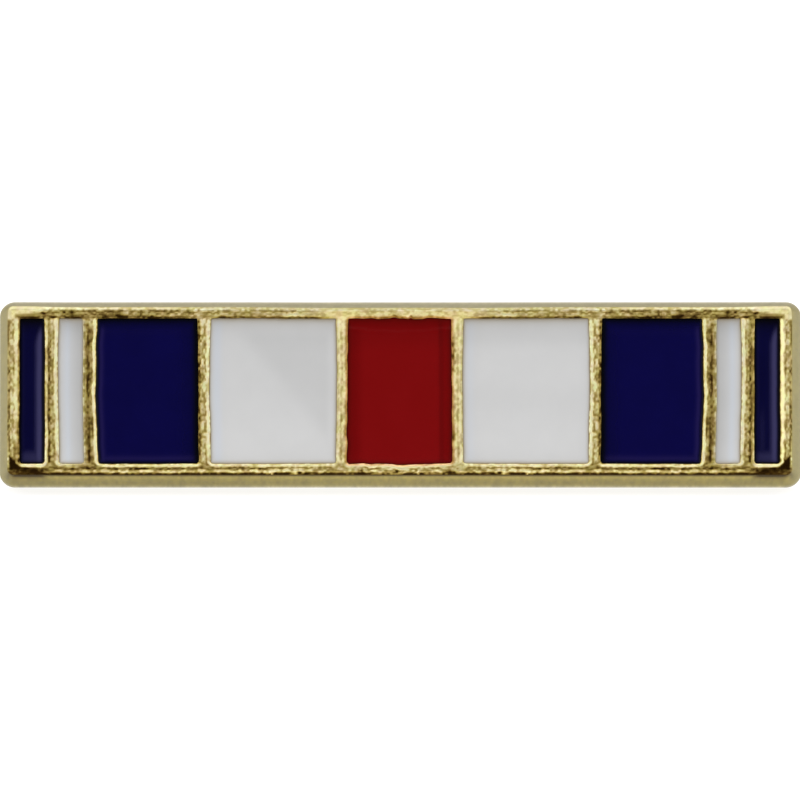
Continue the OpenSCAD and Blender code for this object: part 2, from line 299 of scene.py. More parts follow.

# Pits and nicks, sunk a little and darker, and light spots that are painted
# highlights, of the left half, mirrored on the right; the dark spots at the lower
# corners of the border are painted shade.
# mm from the middle, height, half width, half height, change of tone
MARKS = (
    # border
    (8.353, 1.186, 0.048, 0.329, 0.10), (8.419, 0.528, 0.028, 0.154, -0.16), (8.419, 1.318, 0.022, 0.066, -0.08),
    (8.412, -0.239, 0.057, 0.197, 0.11), (8.506, -0.415, 0.028, 0.088, -0.14), (8.510, 0.397, 0.026, 0.154, -0.10),
    (8.388, -1.336, 0.037, 0.197, -0.34), (8.340, -1.226, 0.035, 0.263, -0.20), (8.366, -0.853, 0.044, 0.175, -0.15),
    (8.478, -1.533, 0.048, 0.099, -0.50), (8.499, -1.182, 0.026, 0.088, -0.20), (8.528, 1.515, 0.035, 0.110, 0.12),
    (8.436, -1.226, 0.026, 0.197, 0.08), (8.515, -0.086, 0.026, 0.110, -0.10),
    (8.363, -1.660, 0.110, 0.055, -0.36), (8.372, -1.545, 0.080, 0.060, -0.32),
    (8.420, -1.578, 0.050, 0.050, -0.40), (8.385, -1.715, 0.060, 0.045, 0.20), (8.546, -1.615, 0.040, 0.185, 0.31),
    # end divider
    (7.678, 1.230, 0.041, 0.197, 0.10), (7.688, 0.572, 0.035, 0.307, -0.10), (7.712, -1.314, 0.039, 0.263, 0.12),
    (7.630, 1.296, 0.024, 0.055, -0.06), (7.627, 0.791, 0.031, 0.079, -0.18), (7.621, 0.528, 0.024, 0.044, -0.08),
    (7.625, 0.287, 0.033, 0.079, -0.22), (7.625, 0.068, 0.024, 0.044, -0.10), (7.627, -0.108, 0.031, 0.070, -0.20),
    (7.621, -0.437, 0.028, 0.066, -0.14), (7.625, -0.634, 0.026, 0.044, -0.10), (7.630, -0.919, 0.026, 0.053, -0.10),
    (7.638, -1.226, 0.026, 0.066, -0.12), (7.636, -1.467, 0.035, 0.110, -0.20), (7.547, 1.186, 0.033, 0.110, -0.14),
    (7.516, -1.380, 0.039, 0.175, -0.34), (7.547, -0.173, 0.026, 0.055, 0.08), (7.569, 1.493, 0.035, 0.110, 0.10),
    (7.542, -0.897, 0.026, 0.088, -0.12), (7.492, 0.638, 0.035, 0.110, 0.06), (7.492, 0.309, 0.035, 0.066, -0.06),
    # blue divider
    (6.762, 1.515, 0.065, 0.121, 0.28), (6.795, 1.241, 0.052, 0.031, 0.18), (6.755, 1.011, 0.039, 0.088, -0.12),
    (6.718, 0.813, 0.035, 0.077, 0.10), (6.762, 0.638, 0.039, 0.066, -0.06), (6.729, 0.506, 0.026, 0.066, 0.14),
    (6.766, 0.265, 0.035, 0.088, -0.12), (6.718, 0.090, 0.035, 0.088, 0.16), (6.777, -0.086, 0.035, 0.066, -0.06),
    (6.762, -0.261, 0.048, 0.070, 0.16), (6.701, -0.809, 0.033, 0.121, -0.20), (6.788, -1.248, 0.031, 0.307, -0.12),
    (6.714, -1.226, 0.033, 0.175, 0.16), (6.740, -0.941, 0.026, 0.066, 0.10), (6.683, -1.095, 0.026, 0.088, 0.10),
    (6.670, -1.489, 0.028, 0.077, -0.14),
    # white divider
    (4.331, 1.515, 0.048, 0.110, 0.12), (4.320, 0.989, 0.039, 0.088, 0.15), (4.255, 1.296, 0.026, 0.132, -0.08),
    (4.255, 0.660, 0.024, 0.307, -0.07), (4.277, 0.287, 0.031, 0.088, -0.12), (4.257, 0.090, 0.037, 0.121, 0.26),
    (4.176, 0.068, 0.033, 0.197, -0.22), (4.342, 0.441, 0.026, 0.110, -0.06), (4.253, -0.459, 0.037, 0.099, -0.24),
    (4.264, -0.634, 0.035, 0.066, -0.22), (4.329, -0.601, 0.035, 0.079, -0.26), (4.255, -0.809, 0.024, 0.070, -0.16),
    (4.342, -0.173, 0.026, 0.055, 0.10), (4.272, -1.116, 0.044, 0.070, -0.14), (4.231, -1.402, 0.028, 0.175, -0.30),
    (4.290, -1.336, 0.035, 0.175, 0.14), (4.198, -1.533, 0.031, 0.088, -0.16), (4.298, -0.788, 0.028, 0.066, 0.10),
    # red divider
    (1.192, 0.967, 0.031, 0.219, -0.10), (1.190, 0.090, 0.031, 0.241, 0.08), (1.268, -0.612, 0.033, 0.083, -0.16),
    (1.277, -1.358, 0.039, 0.154, -0.14), (1.190, 0.550, 0.028, 0.066, -0.08), (1.181, -0.393, 0.033, 0.088, -0.12),
    (1.185, -0.897, 0.031, 0.110, -0.10), (1.177, -1.116, 0.028, 0.066, 0.10), (1.360, -1.423, 0.033, 0.132, 0.12),
    (1.257, 1.500, 0.085, 0.110, 0.10),
    # top
    (7.773, 1.691, 0.057, 0.035, -0.30), (7.656, 1.723, 0.039, 0.026, -0.20), (7.481, 1.712, 0.048, 0.026, -0.18),
    (7.329, 1.706, 0.048, 0.031, -0.22), (7.165, 1.719, 0.065, 0.037, -0.34), (6.915, 1.734, 0.109, 0.020, -0.16),
    (7.536, 1.603, 0.078, 0.026, -0.28), (6.598, 1.726, 0.087, 0.026, -0.16), (6.544, 1.743, 0.109, 0.020, 0.14),
    (6.304, 1.734, 0.048, 0.022, -0.20), (6.173, 1.636, 0.240, 0.035, -0.10), (5.759, 1.669, 0.022, 0.053, -0.20),
    (5.705, 1.691, 0.026, 0.044, -0.22), (5.650, 1.658, 0.020, 0.048, -0.16), (5.476, 1.669, 0.120, 0.035, 0.08),
    (5.279, 1.734, 0.044, 0.024, -0.20), (5.149, 1.734, 0.044, 0.024, -0.20), (4.843, 1.734, 0.052, 0.024, -0.20),
    (4.604, 1.702, 0.048, 0.029, -0.22), (4.887, 1.647, 0.087, 0.026, 0.10), (4.560, 1.625, 0.065, 0.026, 0.12),
    (4.277, 1.669, 0.065, 0.026, -0.18), (4.168, 1.734, 0.035, 0.024, -0.16), (4.473, 1.767, 0.048, 0.026, 0.08),
    (4.298, 1.778, 0.052, 0.024, 0.08), (4.080, 1.778, 0.044, 0.024, 0.06), (3.928, 1.787, 0.065, 0.026, 0.12),
    (3.819, 1.592, 0.109, 0.020, -0.12), (3.405, 1.594, 0.087, 0.020, -0.10), (2.860, 1.734, 0.567, 0.018, -0.08),
    (2.565, 1.734, 0.048, 0.024, -0.16), (3.143, 1.756, 0.048, 0.026, -0.12), (2.707, 1.669, 0.076, 0.031, 0.10),
    (2.304, 1.658, 0.109, 0.031, 0.12), (3.688, 1.723, 0.065, 0.022, -0.10), (7.263, 1.614, 0.087, 0.022, -0.10),
    (7.002, 1.669, 0.065, 0.026, 0.10), (5.955, 1.706, 0.065, 0.024, 0.12), (5.825, 1.739, 0.044, 0.022, -0.12),
    (5.040, 1.677, 0.065, 0.024, -0.10),
    # bottom
    (7.503, -1.709, 0.048, 0.031, -0.20), (7.285, -1.720, 0.065, 0.035, -0.22), (7.154, -1.709, 0.048, 0.031, -0.18),
    (6.936, -1.702, 0.052, 0.031, -0.16), (6.816, -1.702, 0.048, 0.031, -0.22), (7.394, -1.643, 0.044, 0.026, 0.10),
    (7.045, -1.665, 0.048, 0.026, 0.10), (6.195, -1.709, 0.048, 0.029, -0.16), (5.672, -1.704, 0.196, 0.024, -0.12),
    (5.279, -1.704, 0.065, 0.026, -0.16), (5.040, -1.709, 0.048, 0.026, -0.14), (4.734, -1.709, 0.052, 0.026, -0.16),
    (6.021, -1.774, 0.078, 0.024, 0.10), (5.781, -1.770, 0.078, 0.024, 0.10), (5.476, -1.774, 0.100, 0.024, 0.10),
    (6.130, -1.809, 0.035, 0.026, -0.22), (5.955, -1.809, 0.035, 0.026, -0.20), (5.432, -1.818, 0.039, 0.026, -0.18),
    (6.457, -1.770, 0.052, 0.026, -0.10), (4.342, -1.671, 0.061, 0.039, -0.30), (3.971, -1.709, 0.052, 0.029, -0.20),
    (3.416, -1.709, 0.052, 0.029, -0.20), (2.969, -1.709, 0.113, 0.031, -0.26), (3.644, -1.774, 0.057, 0.026, 0.12),
    (3.579, -1.809, 0.035, 0.024, -0.20), (2.827, -1.785, 0.026, 0.039, 0.34), (2.788, -1.840, 0.022, 0.035, 0.50),
    (2.707, -1.814, 0.035, 0.031, -0.50), (2.271, -1.807, 0.033, 0.031, 0.30), (2.271, -1.665, 0.022, 0.057, 0.14),
    (2.184, -1.796, 0.033, 0.033, -0.44), (2.031, -1.827, 0.092, 0.022, -0.14), (6.740, -1.774, 0.109, 0.024, 0.06),
    (4.560, -1.770, 0.065, 0.026, 0.08), (3.841, -1.814, 0.044, 0.022, -0.10), (1.726, -1.763, 0.087, 0.026, 0.06),
    (1.486, -1.709, 0.065, 0.029, -0.12),
)
# the same with signed x, for marks on one side only
ONE_SIDE = (
    # top, over the red cell
    (-0.889, 1.735, 0.070, 0.036, -0.09), (-0.636, 1.714, 0.076, 0.031, -0.07), (-0.223, 1.735, 0.060, 0.040, -0.07),
    (0.467, 1.700, 0.060, 0.033, -0.08), (-0.120, 1.630, 0.060, 0.022, -0.24), (0.180, 1.625, 0.032, 0.030, 0.30),
    (0.250, 1.630, 0.028, 0.024, -0.30),
    # bottom, left of the middle
    (-1.159, -1.741, 0.196, 0.053, 0.10), (-0.889, -1.763, 0.020, 0.053, -0.20),
    (-0.826, -1.809, 0.061, 0.044, -0.42), (-0.331, -1.807, 0.052, 0.026, 0.22),
    (-0.222, -1.836, 0.061, 0.026, 0.26), (-0.042, -1.748, 0.060, 0.042, -0.36), (-0.817, -1.742, 0.042, 0.042, -0.32),
    (-1.028, -1.836, 0.044, 0.026, 0.16),
    # right of the middle
    (0.062, -1.752, 0.048, 0.024, -0.18), (0.193, -1.831, 0.153, 0.024, -0.20), (0.400, -1.805, 0.026, 0.053, 0.40),
    (0.476, -1.818, 0.035, 0.031, -0.46), (0.879, -1.752, 0.098, 0.048, 0.12), (1.130, -1.774, 0.120, 0.026, -0.30),
    (1.172, 1.011, 0.030, 0.055, -0.26), (1.176, 0.740, 0.036, 0.070, -0.32), (1.180, -1.020, 0.040, 0.090, -0.32),
    (1.215, 0.870, 0.035, 0.050, -0.20), (1.215, 0.610, 0.030, 0.045, -0.20), (1.180, 0.450, 0.030, 0.040, -0.20),
)


def cell_distances(x, v):
    """For each cell: distance outside its edge, and the direction away from it."""
    out = []
    for name, x0, x1, _ in CELLS:
        hx, hv = (x1 - x0) / 2, (CELL_TOP - CELL_BOTTOM) / 2
        px, pv = x - (x0 + x1) / 2, v - (CELL_TOP + CELL_BOTTOM) / 2
        qx, qv = np.abs(px) - hx + CELL_R, np.abs(pv) - hv + CELL_R
        mx, mv = np.maximum(qx, 0), np.maximum(qv, 0)
        length = np.hypot(mx, mv)
        d = length + np.minimum(np.maximum(qx, qv), 0) - CELL_R
        gx = np.where(length > 0, mx / np.maximum(length, 1e-9), 0) * np.sign(px)
        gv = np.where(length > 0, mv / np.maximum(length, 1e-9), 0) * np.sign(pv)
        out.append((name, d, gx, gv))
    return out


def outer_distance(x, v):
    qx, qv = np.abs(x) - CREST_X + CREST_R, np.abs(v) - CREST_V + CREST_R
    return -(np.hypot(np.maximum(qx, 0), np.maximum(qv, 0)) + np.minimum(np.maximum(qx, qv), 0) - CREST_R)


def across(d, stations, values):
    """Soft blend of the values that hold at each station, for points at distance d."""
    s, values = np.array(stations), np.stack([np.broadcast_to(c, d.shape) for c in values])
    k = np.clip(np.searchsorted(s, d) - 1, 0, len(s) - 2)
    t = np.clip((d - s[k]) / (s[k + 1] - s[k]), 0, 1)
    t = t * t * (3 - 2 * t)
    n = np.arange(d.size)
    return values[k, n] * (1 - t) + values[k + 1, n] * t


def uneven(x, pattern):
    """A pattern that mirrors left to right, but for the stretch over and under the red cell."""
    return mix(pattern(np.abs(x)), pattern(x), step(1.62, 1.22, np.abs(x)))


def relief(x, v):
    """Height under the crest in mm, tone with its painted light and shade, and roughness at nominal points of the metal
    face.
    """
    ax = np.abs(x)
    top = step(CELL_TOP - 0.05, CELL_TOP + 0.02, v)
    low = step(CELL_BOTTOM + 0.05, CELL_BOTTOM - 0.02, v)
    upright = 1 - top - low
    dout = outer_distance(x, v)
    p = CELL_BOTTOM - v

    # tone of the uprights, and of the top and bottom borders
    tone_u, rough_u = 0.7 + 0 * x, 0.08 + 0 * x
    for name, (a, b, mottling, section) in UPRIGHTS.items():
        here = (ax < a + 0.12) & (ax > b - 0.12)
        d = np.where(ax > 8.2, dout, a - ax) if name == "border" else a - ax
        s, t = zip(*section)
        tone_u = np.where(here, np.interp(d, s, t), tone_u)
        rough_u = np.where(here, mottling, rough_u)
    table = np.array(TOP).T
    columns = [np.interp(ax, table[0], c) for c in table[1:]]
    tone_t, rough_t = across(dout, TOP_Q, columns[:5]), columns[5]
    table = np.array(BOTTOM).T
    columns = [np.interp(ax, table[0], c) for c in table[1:]]
    bend = np.interp(ax, (0.0, 1.2, 2.2, 3.0, 4.6, 5.2, 6.0, 6.6), (0.000, -0.007, -0.007, 0.0, 0.002, 0.008, 0.007, 0.0))
    tone_b, rough_b = across(p - bend, BOTTOM_P, columns[:4]), columns[4]
    tone = tone_u * upright + tone_t * top + tone_b * low
    rough = rough_u * upright + rough_t * top + rough_b * low
    height = -0.010 * (1 - np.clip((tone - 0.30) / 0.55, 0, 1))

    # rims around the cells, with their painted highlights
    rim, rim_tone = 0 * x, 0 * x
    for name, d, gx, gv in cell_distances(x, v):
        kind = RIMS.get(name) or RIMS[name.rsplit("_", 1)[0]] if name != "red_centre" else RIMS[name]
        mirrored = not name.endswith("_left")
        weights = (np.where(gx < 0, gx * gx, 0), np.where(gx > 0, gx * gx, 0),
                   np.where(gv > 0, gv * gv, 0), np.where(gv < 0, gv * gv, 0))
        order = ("inner", "outer", "top", "bottom") if mirrored else ("outer", "inner", "top", "bottom")
        t, strength, reach, width = (sum(w * kind[o][c] for w, o in zip(weights, order)) for c in range(4))
        sway = noise(v * 5.3 + 3 * np.sign(gx) * (1 if mirrored else -1), ax * 5.3, 5)
        strength = strength * (1 - 0.6 * step(8.24, 8.36, ax) * step(-1.56, -1.64, v))
        width = width * (1 - 0.3 * step(8.24, 8.36, ax) * step(-1.46, -1.54, v))
        sway = sway + 0.55 * noise(v / 0.085 + 9 * np.sign(gx), ax / 0.085, 1)
        on = strength * np.exp(-np.abs((d - reach * (1 + 0.22 * sway)) / (width * (1 + 0.2 * sway))) ** 2.6) * (d < 0.2)
        rim_tone = np.where(on > rim, t, rim_tone)
        rim = np.maximum(rim, on)
    shimmer = uneven(x, lambda q: 0.5 * noise(q / 0.16 + 40, v / 0.16, 1) + 0.8 * noise(q / 0.058 + 70, v / 0.058, 3))
    tone = mix(tone, rim_tone - 0.02 + 0.20 * shimmer, rim)
    height = mix(height, 0, rim)

    # mottling: blotches and small grain drawn out along the member
    tall = uneven(x, lambda q: 0.50 * noise(q / 0.070, v / 0.140, 0) + 0.95 * noise(q / 0.038, v / 0.060, 3))
    wide = uneven(x, lambda q: 0.50 * noise(q / 0.140, v / 0.060, 2) + 0.95 * noise(q / 0.060, v / 0.038, 4))
    grain = tall * upright + wide * (1 - upright)
    grain = np.tanh(2.2 * grain) + 0.35 * uneven(x, lambda q: noise(q / 0.034, v / 0.034, 5))
    calm = 1 - 0.55 * top * step(0.065, 0.03, dout)
    tone = tone + rough * 1.8 * grain * (1 - 0.80 * rim) * calm
    height = height - 0.0034 * (1 - np.clip(grain, -1, 1)) * np.clip(rough / 0.1, 0, 1.3) * (1 - 0.5 * rim)

    # the charted marks: pits and nicks, painted highlights and painted shade spots
    for signed, rows in ((False, MARKS), (True, ONE_SIDE)):
        for mx, mv, hx, hv, change in rows:
            near = np.abs((x if signed else ax) - mx) < 3 * hx
            blot = np.zeros_like(x)
            xx = (x if signed else ax)[near]
            blot[near] = np.exp(-(((xx - mx) / hx) ** 2 + ((v[near] - mv) / hv) ** 2) ** 1.6)
            tone = tone + 1.2 * change * blot * (1 - (0.85 if change < 0 else 0) * rim * step(8.24, 8.28, x))
            height = height + 0.016 * min(change, 0) * blot

    # rounding toward the cells and over the outer edge
    inner = np.min([d for _, d, _, _ in cell_distances(x, v)], axis=0)
    height = height - 0.006 * np.clip(1 - inner / 0.024, 0, 1) ** 2
    height = height - 0.034 * np.clip(1 - dout / 0.060, 0, 1) ** 1.4

    matte = np.clip(0.42 + 0.14 * step(0.78, 0.88, tone) * (1 - rim) * step(0.09, 0.03, rough), 0, 1)
    matte = matte + 0.05 * rim + 0.21 * rim * step(8.28, 8.32, x) * step(-1.60, -1.50, v)
    return np.clip(height, -0.06, 0), np.clip(tone, 0, 1.2), matte


# ---------------------------------------------------------------------------
# Mesh building
# ---------------------------------------------------------------------------
class Build:
    """Collects vertices with their values, and faces, for one mesh."""

    def __init__(self, fields):
        self.points, self.faces, self.count = [], [], 0
        self.fields = {f: [] for f in fields}

    def add(self, x, v, n, **values):
        x, v, n = np.broadcast_arrays(np.asarray(x, float), v, n)
        self.points.append(at_rest(x.ravel(), v.ravel(), n.ravel()))
        for f, store in self.fields.items():
            store.append(np.broadcast_to(np.asarray(values.get(f, 0), float), x.shape).ravel().copy())
        first = self.count
        self.count += x.size
        return np.arange(first, self.count)

    def quads(self, q):
        self.faces.extend(map(tuple, q.tolist()))

    def ring_to_ring(self, a, b):
        """Quads between two closed rings of the same length."""
        a2, b2 = np.roll(a, -1), np.roll(b, -1)
        self.quads(np.stack([a, a2, b2, b], -1))

    def mesh(self, name, sharp=50):
        me = bpy.data.meshes.new(name)
        me.from_pydata(np.concatenate(self.points).tolist(), [], self.faces)
        me.validate()
        for f, store in self.fields.items():
            me.attributes.new(f, "FLOAT", "POINT").data.foreach_set("value", np.concatenate(store))
        me.polygons.foreach_set("use_smooth", [True] * len(me.polygons))
        me.set_sharp_from_angle(angle=math.radians(sharp))
        me.update()
        ob = bpy.data.objects.new(name, me)
        bpy.context.scene.collection.objects.link(ob)
        return ob


def lines(marks, sizes):
    """Grid lines through the marks, with each gap divided at its own size; also each interval's gap."""
    out, gap = [np.array([marks[0]])], []
    for k, (a, b) in enumerate(zip(marks[:-1], marks[1:])):
        s = spread(a, b, sizes[k])
        out.append(s[1:])
        gap += [k] * (len(s) - 1)
    return np.concatenate(out), np.array(gap)


def within(points, loop):
    """Which points lie inside a closed loop."""
    a = np.array(loop)
    b = np.roll(a, -1, axis=0)
    px_, pv_ = points[:, 0, None], points[:, 1, None]
    spans = (a[:, 1] > pv_) != (b[:, 1] > pv_)
    rise = np.where(b[:, 1] == a[:, 1], 1.0, b[:, 1] - a[:, 1])
    return (spans & (px_ < a[:, 0] + (pv_ - a[:, 1]) * (b[:, 0] - a[:, 0]) / rise)).sum(1) % 2 == 1


def build_metal():
    b = Build(("tone", "matte", "wall", "blush", "pale", "warm"))
    marks = [-CREST_X] + [e for _, x0, x1, _ in CELLS for e in (x0, x1)] + [CREST_X]
    U, ugap = lines(marks, [0.0165 if k % 2 == 0 else 0.0225 for k in range(len(marks) - 1)])
    W, wgap = lines([-CREST_V, CELL_BOTTOM, CELL_TOP, CREST_V], [0.0150, 0.0205, 0.0150])
    nu, nw = len(U), len(W)
    metal = (wgap[:, None] != 1) | (ugap[None, :] % 2 == 0)
    used = np.zeros((nw, nu), bool)
    for di in (0, 1):
        for dj in (0, 1):
            used[di:nw - 1 + di, dj:nu - 1 + dj] |= metal
    gx, gv = np.meshgrid(U, W)
    x, v = gx[used], gv[used]
    x, v = round_outer(x, v)
    x, v = round_cells(x, v)
    height, tone, matte = relief(x, v)
    wx, wv = wander(x, v)
    ids = -np.ones((nw, nu), int)
    near = cell_distances(x, v)
    red = [d for name, d, _, _ in near if name == "red_centre"][0]
    white = np.maximum(np.min([d for name, d, _, _ in near if name.startswith("white")], axis=0), 0)
    # painted reflection: the face is painted paler where the crest rounds over its outer edge (but for the bottom
    # border) and beside the white cells
    edge = step(0.095, 0.045, outer_distance(x, v)) * (0.6 + 0.4 * step(1.5, 1.7, v))
    edge = edge * np.maximum(step(-1.66, -1.56, v), step(8.46, 8.50, np.abs(x)) * step(-1.82, -1.74, v))
    edge = edge * (1 - 0.36 * step(4.2, 5.0, np.abs(x)) * step(1.5, 1.7, v))
    edge = np.maximum(edge, 0.60 * np.exp(-(white / 0.040) ** 2) * (0.5 + 0.5 * step(-1.58, -1.48, v)) * step(1.60, 1.50, v))
    warm = step(2.3, 1.5, np.abs(x)) * step(1.45, 1.60, v) * step(0.06, 0.09, outer_distance(x, v))
    # the metal beside the red cell takes a painted red reflection
    ids[used] = b.add(wx, wv, BAR_T + height, tone=tone, matte=matte, wall=0,
                      blush=np.exp(-(np.maximum(red, 0) / 0.042) ** 2), pale=edge, warm=warm)
    i, j = np.nonzero(metal)
    b.quads(np.stack([ids[i, j], ids[i, j + 1], ids[i + 1, j + 1], ids[i + 1, j]], -1))
    at = {k: np.zeros(b.count) for k in ("x", "v", "n", "nominal")}
    at["x"][ids[used]], at["v"][ids[used]], at["n"][ids[used]], at["nominal"][ids[used]] = wx, wv, BAR_T + height, v

    # walls and floors of the cells
    low, high = np.searchsorted(W, CELL_BOTTOM - 1e-9), np.searchsorted(W, CELL_TOP - 1e-9)
    for name, x0, x1, _ in CELLS:
        left, right = np.searchsorted(U, x0 - 1e-9), np.searchsorted(U, x1 - 1e-9)
        ring = np.concatenate([ids[low, left:right], ids[low:high, right],
                               ids[high, right:left:-1], ids[high:low:-1, left]])
        rx, rv, rn = at["x"][ring], at["v"][ring], at["n"][ring]
        last = ring
        # the cells' walls, seen only through the seam round each fill, are painted dark as shade in that gap, lighter
        # near the crest in the white cells; the red cell's walls take the painted red reflection
        for n, tone in ((1.425, 0.55 if "white" in name else 0.12), (1.30, 0.08), (TRAY, 0.08)):
            new = b.add(rx, rv, n, tone=tone, matte=0.5, wall=0, blush="red" in name, pale=0)
            # seen from inside the cell the ring runs anticlockwise, so its walls face inwards
            b.ring_to_ring(last[::-1], new[::-1])
            last = new
        b.faces.append(tuple(last.tolist()))

    # outer wall
    ring = np.concatenate([ids[0, :-1], ids[:-1, -1], ids[-1, :0:-1], ids[:0:-1, 0]])
    rx, rv, true_v = at["x"][ring], at["v"][ring], at["nominal"][ring]
    qx = np.sign(rx) * np.maximum(np.abs(rx) - (CREST_X - CREST_R), 0)
    qv = np.sign(rv) * np.maximum(np.abs(rv) - (CREST_V - CREST_R), 0)
    length = np.hypot(qx, qv)
    ox, ov = qx / length, qv / length
    run = np.cumsum(np.hypot(np.diff(rx, prepend=rx[-1]), np.diff(rv, prepend=rv[-1])))
    last = ring
    under, over = np.clip(-ov, 0, 1) ** 2, np.clip(ov, 0, 1) ** 2
    # mask for the painted shade at the two lower corners
    corner = step(7.55, 7.85, np.abs(rx)) * under * (1 - 0.35 * step(8.36, 8.50, np.abs(rx)))
    turn = np.exp(-((np.abs(ox) - 0.70) / 0.24) ** 2) * (ov < 0)
    for t in (0.045, 0.10, 0.17, 0.25, 0.33, 0.42, 0.62, 0.72, 0.81, 0.89, 0.95, 0.988, 1.0):
        n = BAR_T * (1 - t)
        out = DRAFT * t * (1 + 0.08 * np.abs(ox) ** 4 + 0.01 * over + 0.03 * under) - (0.012 if t == 1.0 else 0)
        wob = 0.0025 * fbm(run / 0.7, 0 * run + t * 4, 2) * math.sin(math.pi * min(1, t * 1.1))
        out = out + np.minimum(wob, 0)
        # painted light and shade on the walls: the lower wall is painted lightest at its two edges, the upper one at
        # its back
        shade = (under * along(t, (0.17, 0.25, 0.33, 0.42, 0.62, 0.72, 0.81, 0.89, 1.0),
                               (0.74, 0.74, 0.61, 0.54, 0.51, 0.53, 0.60, 0.81, 1.00))
                 + over * along(t, (0.0, 0.3, 0.62, 0.81, 0.95, 1.0), (0.72, 0.655, 0.69, 0.93, 0.92, 0.92))
                 + (1 - under - over) * along(t, (0.0, 0.2, 0.5, 1.0), (0.60, 0.575, 0.56, 0.63)))
        # a painted shade band under the crest's lower edge runs on a little way down the lower wall, and painted shade
        # fills the lower corners
        dark = under * along(t, (0.06, 0.13, 0.20, 0.30), (1.0, 0.54, 0.22, 0.0))
        dark = np.maximum(dark, corner * along(t, (0.15, 0.25, 0.36, 0.48), (1.0, 0.6, 0.3, 0.0)))
        streaks = (0.35 * noise(run / 0.15 + 1.5 * t, 0 * run + 2.0 * t, 1) + 0.60 * noise(run / 0.078 - 2 * t, 0 * run + 3.4 * t, 2)
                   + 0.60 * noise(run / 0.045 + 1.2 * t, 0 * run + 4.6 * t, 5))
        shade = shade * (1 + (0.19 * under + 0.10 * (1 - under)) * streaks)
        # painted shade where the lower wall turns round the bottom corners
        shade = shade * (1 - 0.40 * turn * along(t, (0.36, 0.54, 0.72), (1.0, 0.6, 0.0)))
        # painted reflection colour: the lower wall is painted warmest under its edge, the upper wall palest along its
        # back
        pale = (under * along(t, (0.35, 0.77, 0.85, 0.92), (0.0, 0.20, 0.60, 1.0))
                + over * along(t, (0.1, 0.5, 0.8), (0.81, 0.90, 1.0))
                + (1 - under - over) * along(t, (0.1, 0.6, 1.0), (0.30, 0.50, 0.62)))
        # the crest wavers, the back's outline is straight
        line = mix(rv, true_v, 0.9 * t)
        new = b.add(rx + ox * out, line + ov * out, n, tone=shade * (1 - dark) + 0.11 * dark, matte=0.5,
                    wall=1 - 0.85 * dark, pale=pale)
        b.ring_to_ring(new, last)
        last = new
    # a narrow band of the back, so that the wall's colour ends at the edge
    hx, hv = rx + ox * (out - 0.03), line + ov * (out - 0.03)
    new = b.add(hx, hv, 0.0, tone=0.80, matte=0.42, wall=0.45)
    b.ring_to_ring(new, last)
    last = new

    # back, with the soldered foot and the post on it
    seg = 96
    ang = np.arange(seg) * 2 * math.pi / seg
    foot = 1 + 0.006 * np.sin(3 * ang + 1) + 0.004 * np.sin(7 * ang)
    profile = [(1.63, 0.0), (1.575, -0.010), (1.535, -0.030), (1.510, -0.065), (1.500, -0.12),
               (1.500, -0.30), (1.492, -0.345), (1.466, -0.378), (1.425, -0.395), (1.36, -FOOT_T),
               (1.05, -FOOT_T), (0.80, -0.402), (0.70, -0.412), (0.635, -0.440), (0.590, -0.490), (0.562, -0.560),
               (0.551, -0.65), (POST_R, -0.80), (POST_R, -2.2), (POST_R, -3.6), (POST_R, -5.0), (POST_R, -6.2), (POST_R, -6.95),
               (0.548, -7.06), (0.538, -7.12), (0.515, -7.19), (0.42, -7.395), (0.31, -7.64), (0.215, -7.855),
               (0.178, -7.93), (0.150, -7.972), (0.110, -7.993), (0.06, -POST_LEN)]
    rings = []
    for k, (r, n) in enumerate(profile):
        rr = r * (foot if k < 5 else 1)
        rings.append(b.add(rr * np.cos(ang), rr * np.sin(ang), n, tone=0.80, matte=0.42, wall=0.45, blush=0, pale=0))
    for r0, r1 in zip(rings[:-1], rings[1:]):
        b.ring_to_ring(r1, r0)
    b.faces.append(tuple(rings[-1][::-1].tolist()))

    outline = list(zip(hx.tolist(), hv.tolist()))
    circle = [(float(r), float(s)) for r, s in zip(profile[0][0] * foot * np.cos(ang), profile[0][0] * foot * np.sin(ang))]
    inner = [(gx_, gv_) for gx_ in np.arange(-8.4, 8.41, 0.3) for gv_ in np.arange(-1.8, 1.81, 0.3)
             if math.hypot(gx_, gv_) > 1.85]
    pts = [Vector(c) for c in outline + circle + inner]
    no, nc = len(outline), len(circle)
    edges = [(k, (k + 1) % no) for k in range(no)] + [(no + k, no + (k + 1) % nc) for k in range(nc)]
    # only the triangles inside the outline are made; those inside the foot are left out below
    vs, _, fs, vmap, _, _ = delaunay_2d_cdt(pts, edges, [], 1, 1e-7)
    extra = b.add([p[0] for p in inner], [p[1] for p in inner], 0.0, tone=0.80, matte=0.42, wall=0.45, blush=0, pale=0)
    target = np.concatenate([last, rings[0], extra])
    assert len(vs) == len(pts)
    centres = np.array([tuple(sum((vs[k] for k in f), Vector((0, 0))) / len(f)) for f in fs])
    keep = ~within(centres, circle)
    for f, wanted in zip(fs, keep):
        if not wanted:
            continue
        a, bb, cc = (target[vmap[k][0]] for k in f)
        p0, p1, p2 = (vs[k] for k in f)
        if (p1 - p0).cross(p2 - p0) < 0:
            a, bb = bb, a
        b.faces.append((int(a), int(cc), int(bb)))
    return b.mesh("struck_metal")


